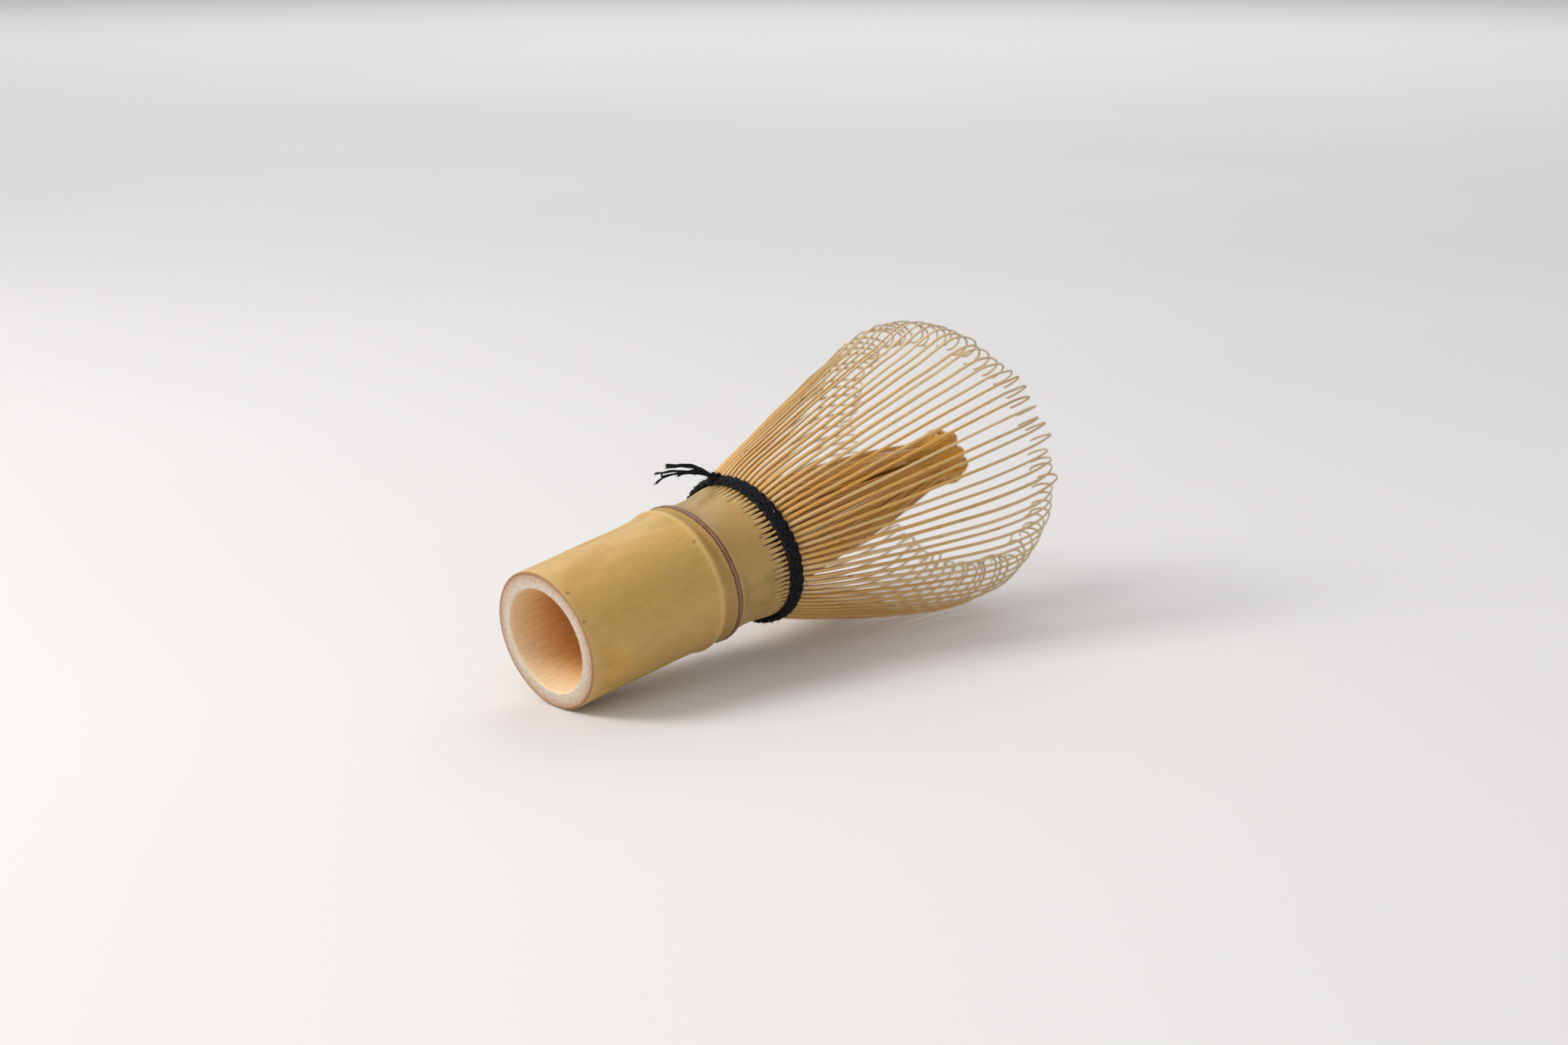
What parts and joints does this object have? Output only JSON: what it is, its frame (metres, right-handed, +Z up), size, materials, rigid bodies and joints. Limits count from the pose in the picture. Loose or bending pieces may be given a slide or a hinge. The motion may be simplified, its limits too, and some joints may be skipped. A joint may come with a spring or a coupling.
{
  "type": "bamboo tea whisk",
  "caption": "Bamboo tea whisk lying on its side: hollow culm handle with node ring, a ring of hooked outer tines around a gathered inner core, bound with black cotton thread.",
  "frame": {"origin": "on the table plane, in the middle of the overall box, with the whisk lying on its side as it rests", "axes": "+X horizontal from the sawn end of the handle towards the tines, +Z up; the whisk's own axis rises 9.40 degrees from +X because the sawn rim and the bulge of the tines both rest on z = 0"},
  "size_m": [0.1131, 0.058, 0.0581],
  "materials": {
    "culm_bamboo": "satin natural bamboo skin, paler at the sawn end",
    "outer_tine_bamboo": "satin split bamboo",
    "inner_tine_bamboo": "satin split bamboo, darker than the outer tines",
    "cotton_thread": "matt twisted cotton"
  },
  "bodies": {
    "root": {"culm": "culm_bamboo", "thread_knot": "cotton_thread", "thread_tail": "cotton_thread", "thread_turn_inner": "cotton_thread", "thread_turn_lower": "cotton_thread", "thread_turn_upper": "cotton_thread"},
    "outer_tines_01": {"outer_tines_01": "outer_tine_bamboo"},
    "outer_tines_02": {"outer_tines_02": "outer_tine_bamboo"},
    "outer_tines_03": {"outer_tines_03": "outer_tine_bamboo"},
    "outer_tines_04": {"outer_tines_04": "outer_tine_bamboo"},
    "outer_tines_05": {"outer_tines_05": "outer_tine_bamboo"},
    "outer_tines_06": {"outer_tines_06": "outer_tine_bamboo"},
    "outer_tines_07": {"outer_tines_07": "outer_tine_bamboo"},
    "outer_tines_08": {"outer_tines_08": "outer_tine_bamboo"},
    "outer_tines_09": {"outer_tines_09": "outer_tine_bamboo"},
    "outer_tines_10": {"outer_tines_10": "outer_tine_bamboo"},
    "outer_tines_11": {"outer_tines_11": "outer_tine_bamboo"},
    "outer_tines_12": {"outer_tines_12": "outer_tine_bamboo"},
    "outer_tines_13": {"outer_tines_13": "outer_tine_bamboo"},
    "outer_tines_14": {"outer_tines_14": "outer_tine_bamboo"},
    "outer_tines_15": {"outer_tines_15": "outer_tine_bamboo"},
    "outer_tines_16": {"outer_tines_16": "outer_tine_bamboo"},
    "inner_tines_01": {"inner_tines_01": "inner_tine_bamboo"},
    "inner_tines_02": {"inner_tines_02": "inner_tine_bamboo"},
    "inner_tines_03": {"inner_tines_03": "inner_tine_bamboo"},
    "inner_tines_04": {"inner_tines_04": "inner_tine_bamboo"},
    "inner_tines_05": {"inner_tines_05": "inner_tine_bamboo"},
    "inner_tines_06": {"inner_tines_06": "inner_tine_bamboo"},
    "inner_tines_07": {"inner_tines_07": "inner_tine_bamboo"},
    "inner_tines_08": {"inner_tines_08": "inner_tine_bamboo"}
  },
  "joints": [
    {"name": "flex_outer_tines_01", "type": "hinge", "parent": "root", "child": "outer_tines_01", "pos_m": [-0.0097, 0.00257, 0.03334], "axis": [-0.0319, -0.9808, 0.1925], "range_deg": [-3, 4], "stiffness_Nm_per_rad": 0.02},
    {"name": "flex_outer_tines_02", "type": "hinge", "parent": "root", "child": "outer_tines_02", "pos_m": [-0.00938, 0.00732, 0.0314], "axis": [-0.0908, -0.8315, 0.5481], "range_deg": [-3, 4], "stiffness_Nm_per_rad": 0.02},
    {"name": "flex_outer_tines_03", "type": "hinge", "parent": "root", "child": "outer_tines_03", "pos_m": [-0.00879, 0.01095, 0.02781], "axis": [-0.1358, -0.5556, 0.8203], "range_deg": [-3, 4], "stiffness_Nm_per_rad": 0.02},
    {"name": "flex_outer_tines_04", "type": "hinge", "parent": "root", "child": "outer_tines_04", "pos_m": [-0.00801, 0.01292, 0.02313], "axis": [-0.1602, -0.1951, 0.9676], "range_deg": [-3, 4], "stiffness_Nm_per_rad": 0.02},
    {"name": "flex_outer_tines_05", "type": "hinge", "parent": "root", "child": "outer_tines_05", "pos_m": [-0.00717, 0.01292, 0.01806], "axis": [-0.1602, 0.1951, 0.9676], "range_deg": [-3, 4], "stiffness_Nm_per_rad": 0.02},
    {"name": "flex_outer_tines_06", "type": "hinge", "parent": "root", "child": "outer_tines_06", "pos_m": [-0.00639, 0.01095, 0.01338], "axis": [-0.1358, 0.5556, 0.8203], "range_deg": [-3, 4], "stiffness_Nm_per_rad": 0.02},
    {"name": "flex_outer_tines_07", "type": "hinge", "parent": "root", "child": "outer_tines_07", "pos_m": [-0.0058, 0.00732, 0.00979], "axis": [-0.0908, 0.8315, 0.5481], "range_deg": [-3, 4], "stiffness_Nm_per_rad": 0.02},
    {"name": "flex_outer_tines_08", "type": "hinge", "parent": "root", "child": "outer_tines_08", "pos_m": [-0.00548, 0.00257, 0.00785], "axis": [-0.0319, 0.9808, 0.1925], "range_deg": [-3, 4], "stiffness_Nm_per_rad": 0.02},
    {"name": "flex_outer_tines_09", "type": "hinge", "parent": "root", "child": "outer_tines_09", "pos_m": [-0.00548, -0.00257, 0.00785], "axis": [0.0319, 0.9808, -0.1925], "range_deg": [-3, 4], "stiffness_Nm_per_rad": 0.02},
    {"name": "flex_outer_tines_10", "type": "hinge", "parent": "root", "child": "outer_tines_10", "pos_m": [-0.0058, -0.00732, 0.00979], "axis": [0.0908, 0.8315, -0.5481], "range_deg": [-3, 4], "stiffness_Nm_per_rad": 0.02},
    {"name": "flex_outer_tines_11", "type": "hinge", "parent": "root", "child": "outer_tines_11", "pos_m": [-0.00639, -0.01095, 0.01338], "axis": [0.1358, 0.5556, -0.8203], "range_deg": [-3, 4], "stiffness_Nm_per_rad": 0.02},
    {"name": "flex_outer_tines_12", "type": "hinge", "parent": "root", "child": "outer_tines_12", "pos_m": [-0.00717, -0.01292, 0.01806], "axis": [0.1602, 0.1951, -0.9676], "range_deg": [-3, 4], "stiffness_Nm_per_rad": 0.02},
    {"name": "flex_outer_tines_13", "type": "hinge", "parent": "root", "child": "outer_tines_13", "pos_m": [-0.00801, -0.01292, 0.02313], "axis": [0.1602, -0.1951, -0.9676], "range_deg": [-3, 4], "stiffness_Nm_per_rad": 0.02},
    {"name": "flex_outer_tines_14", "type": "hinge", "parent": "root", "child": "outer_tines_14", "pos_m": [-0.00879, -0.01095, 0.02781], "axis": [0.1358, -0.5556, -0.8203], "range_deg": [-3, 4], "stiffness_Nm_per_rad": 0.02},
    {"name": "flex_outer_tines_15", "type": "hinge", "parent": "root", "child": "outer_tines_15", "pos_m": [-0.00938, -0.00732, 0.0314], "axis": [0.0908, -0.8315, -0.5481], "range_deg": [-3, 4], "stiffness_Nm_per_rad": 0.02},
    {"name": "flex_outer_tines_16", "type": "hinge", "parent": "root", "child": "outer_tines_16", "pos_m": [-0.0097, -0.00257, 0.03334], "axis": [0.0319, -0.9808, -0.1925], "range_deg": [-3, 4], "stiffness_Nm_per_rad": 0.02},
    {"name": "flex_inner_tines_01", "type": "hinge", "parent": "root", "child": "inner_tines_01", "pos_m": [-0.00927, 0.00426, 0.03075], "axis": [-0.0625, -0.9239, 0.3775], "range_deg": [0, 5], "stiffness_Nm_per_rad": 0.02},
    {"name": "flex_inner_tines_02", "type": "hinge", "parent": "root", "child": "inner_tines_02", "pos_m": [-0.00829, 0.01029, 0.0248], "axis": [-0.1509, -0.3827, 0.9115], "range_deg": [0, 5], "stiffness_Nm_per_rad": 0.02},
    {"name": "flex_inner_tines_03", "type": "hinge", "parent": "root", "child": "inner_tines_03", "pos_m": [-0.00689, 0.01029, 0.01639], "axis": [-0.1509, 0.3827, 0.9115], "range_deg": [0, 5], "stiffness_Nm_per_rad": 0.02},
    {"name": "flex_inner_tines_04", "type": "hinge", "parent": "root", "child": "inner_tines_04", "pos_m": [-0.00591, 0.00426, 0.01044], "axis": [-0.0625, 0.9239, 0.3775], "range_deg": [0, 5], "stiffness_Nm_per_rad": 0.02},
    {"name": "flex_inner_tines_05", "type": "hinge", "parent": "root", "child": "inner_tines_05", "pos_m": [-0.00591, -0.00426, 0.01044], "axis": [0.0625, 0.9239, -0.3775], "range_deg": [0, 5], "stiffness_Nm_per_rad": 0.02},
    {"name": "flex_inner_tines_06", "type": "hinge", "parent": "root", "child": "inner_tines_06", "pos_m": [-0.00689, -0.01029, 0.01639], "axis": [0.1509, 0.3827, -0.9115], "range_deg": [0, 5], "stiffness_Nm_per_rad": 0.02},
    {"name": "flex_inner_tines_07", "type": "hinge", "parent": "root", "child": "inner_tines_07", "pos_m": [-0.00829, -0.01029, 0.0248], "axis": [0.1509, -0.3827, -0.9115], "range_deg": [0, 5], "stiffness_Nm_per_rad": 0.02},
    {"name": "flex_inner_tines_08", "type": "hinge", "parent": "root", "child": "inner_tines_08", "pos_m": [-0.00927, -0.00426, 0.03075], "axis": [0.0625, -0.9239, -0.3775], "range_deg": [0, 5], "stiffness_Nm_per_rad": 0.02}
  ]
}
